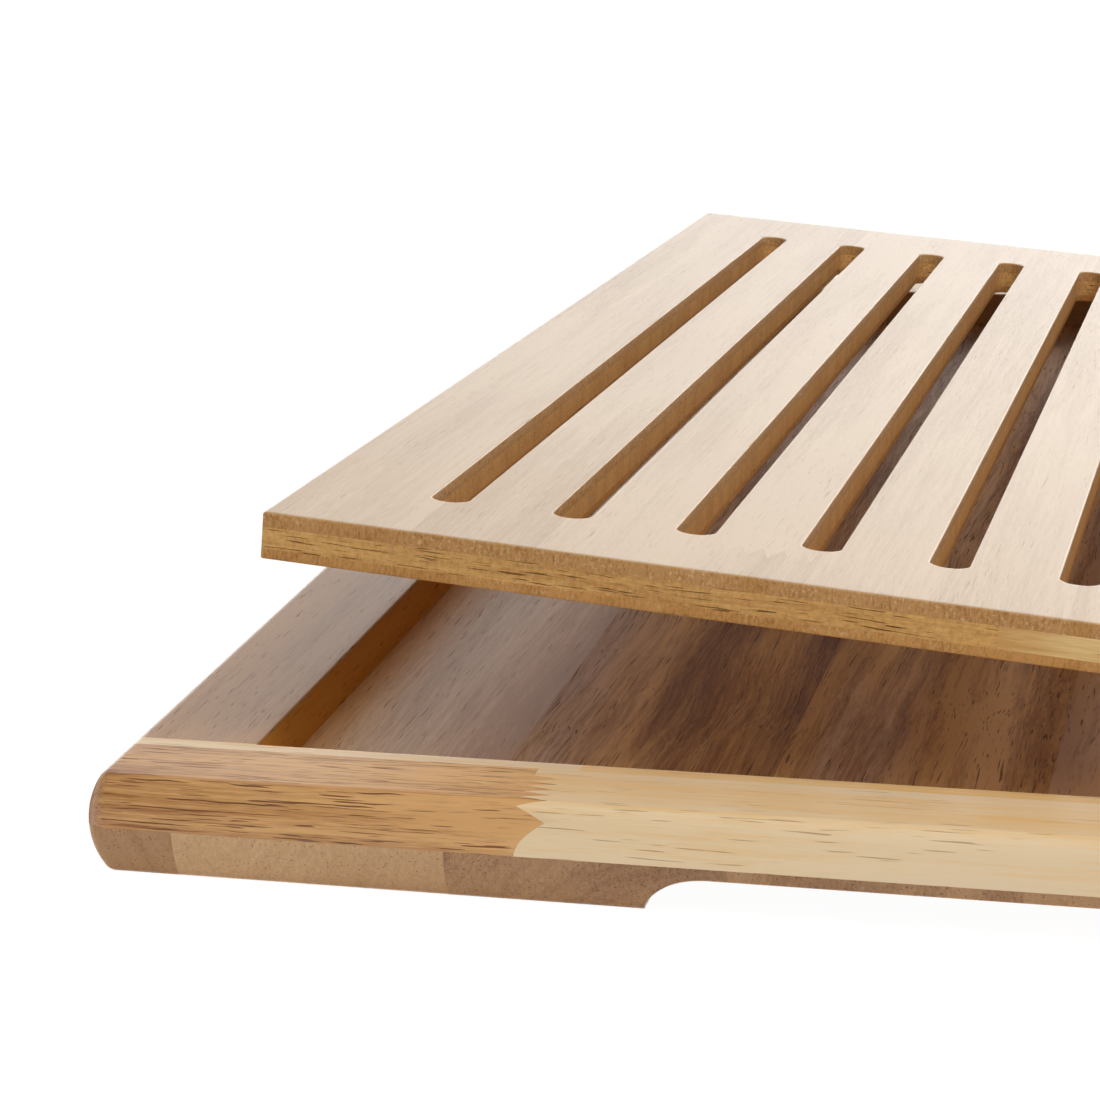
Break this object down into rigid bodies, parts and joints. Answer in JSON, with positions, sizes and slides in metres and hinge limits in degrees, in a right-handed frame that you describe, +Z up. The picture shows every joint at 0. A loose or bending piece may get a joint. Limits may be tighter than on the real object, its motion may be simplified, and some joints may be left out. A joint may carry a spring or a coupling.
{
  "type": "slatted bread board",
  "caption": "Low wooden bread board: a framed crumb tray with finger arches under its ends, and a slotted insert that lies in it, tips up at one corner and lifts out.",
  "frame": {"origin": "centre of the tray's flat underside, on the surface it stands on", "axes": "+Z up; +Y along the board's length, away from the end with the lifted insert corner; +X to the right, so the insert's lifted corner is at -X, -Y"},
  "size_m": [0.322, 0.475, 0.0633],
  "materials": {
    "base_wood": "satin oiled rubberwood, end grain at the ends",
    "side_rail_wood": "satin oiled rubberwood",
    "warm_rail_wood": "satin oiled rubberwood",
    "cream_rail_wood": "satin oiled rubberwood",
    "insert_top_wood": "satin, pale sanded rubberwood",
    "insert_core_wood": "satin rubberwood, grain across the board",
    "insert_bottom_wood": "satin rubberwood"
  },
  "bodies": {
    "tray": {"base_stave_1": "base_wood", "base_stave_2": "base_wood", "base_stave_3": "base_wood", "base_stave_4": "base_wood", "base_stave_5": "base_wood", "base_stave_6": "base_wood", "base_stave_7": "base_wood", "front_rail_outer_left": "warm_rail_wood", "front_rail_outer_right": "cream_rail_wood", "front_rail_inner_left": "cream_rail_wood", "front_rail_inner_right": "warm_rail_wood", "back_rail_outer_left": "cream_rail_wood", "back_rail_outer_right": "warm_rail_wood", "back_rail_inner_left": "warm_rail_wood", "back_rail_inner_right": "cream_rail_wood", "left_rail": "side_rail_wood", "right_rail": "side_rail_wood"},
    "insert": {"insert_top_stave_1": "insert_top_wood", "insert_top_stave_2": "insert_top_wood", "insert_top_stave_3": "insert_top_wood", "insert_top_stave_4": "insert_top_wood", "insert_top_stave_5": "insert_top_wood", "insert_top_stave_6": "insert_top_wood", "insert_top_stave_7": "insert_top_wood", "insert_top_stave_8": "insert_top_wood", "insert_top_stave_9": "insert_top_wood", "insert_top_stave_10": "insert_top_wood", "insert_top_stave_11": "insert_top_wood", "insert_top_stave_4_end": "insert_top_wood", "insert_core_front_left": "insert_core_wood", "insert_core_front_right": "insert_core_wood", "insert_core_panel": "insert_core_wood", "insert_core_back": "insert_core_wood", "insert_bottom_stave_1": "insert_bottom_wood", "insert_bottom_stave_2": "insert_bottom_wood", "insert_bottom_stave_3": "insert_bottom_wood", "insert_bottom_stave_4": "insert_bottom_wood", "insert_bottom_stave_5": "insert_bottom_wood", "insert_bottom_stave_6": "insert_bottom_wood", "insert_bottom_stave_7": "insert_bottom_wood", "insert_bottom_stave_8": "insert_bottom_wood", "insert_bottom_stave_9": "insert_bottom_wood", "insert_bottom_stave_10": "insert_bottom_wood", "insert_bottom_stave_11": "insert_bottom_wood"}
  },
  "joints": [
    {"name": "insert_lift", "type": "hinge", "parent": "tray", "child": "insert", "pos_m": [0.13375, 0.21375, 0.0188], "axis": [-0.477, 0.8789, 0], "range_deg": [-5.82, 54.18]}
  ]
}
